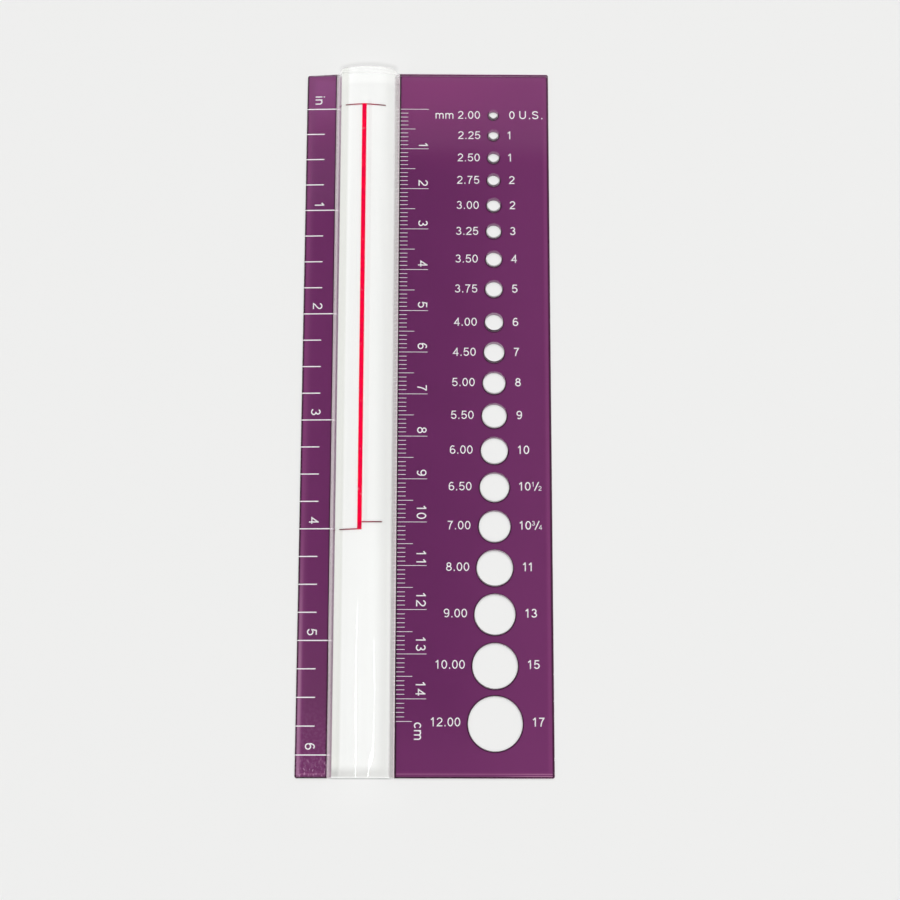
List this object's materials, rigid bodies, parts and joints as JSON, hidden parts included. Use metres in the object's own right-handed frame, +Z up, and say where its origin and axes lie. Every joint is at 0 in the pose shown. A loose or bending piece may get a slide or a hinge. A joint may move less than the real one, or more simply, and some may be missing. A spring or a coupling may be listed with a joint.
{
  "type": "knitting needle gauge",
  "caption": "Flat clear acrylic needle gauge with sized holes, bevelled inch rule, centimetre rule and a magnifier bar over a red counting line, purple print behind.",
  "frame": {"origin": "middle of the underside, on the table", "axes": "+X towards the needle holes, +Y along the gauge towards the zero marks and the smallest hole, +Z up out of the dome"},
  "size_m": [0.0576, 0.166, 0.0069],
  "materials": {
    "clear_acrylic": "clear polished acrylic",
    "purple_ink": "opaque purple print behind the clear strips",
    "red_ink": "opaque red line",
    "white_ink": "near white figures and rule marks"
  },
  "bodies": {
    "root": {"gauge_plate": "clear_acrylic", "gauge_plate_back_print": "purple_ink", "inch_rule": "clear_acrylic", "inch_rule_back_print": "purple_ink", "magnifier_bar": "clear_acrylic", "stitch_line_print": "red_ink"}
  },
  "joints": []
}
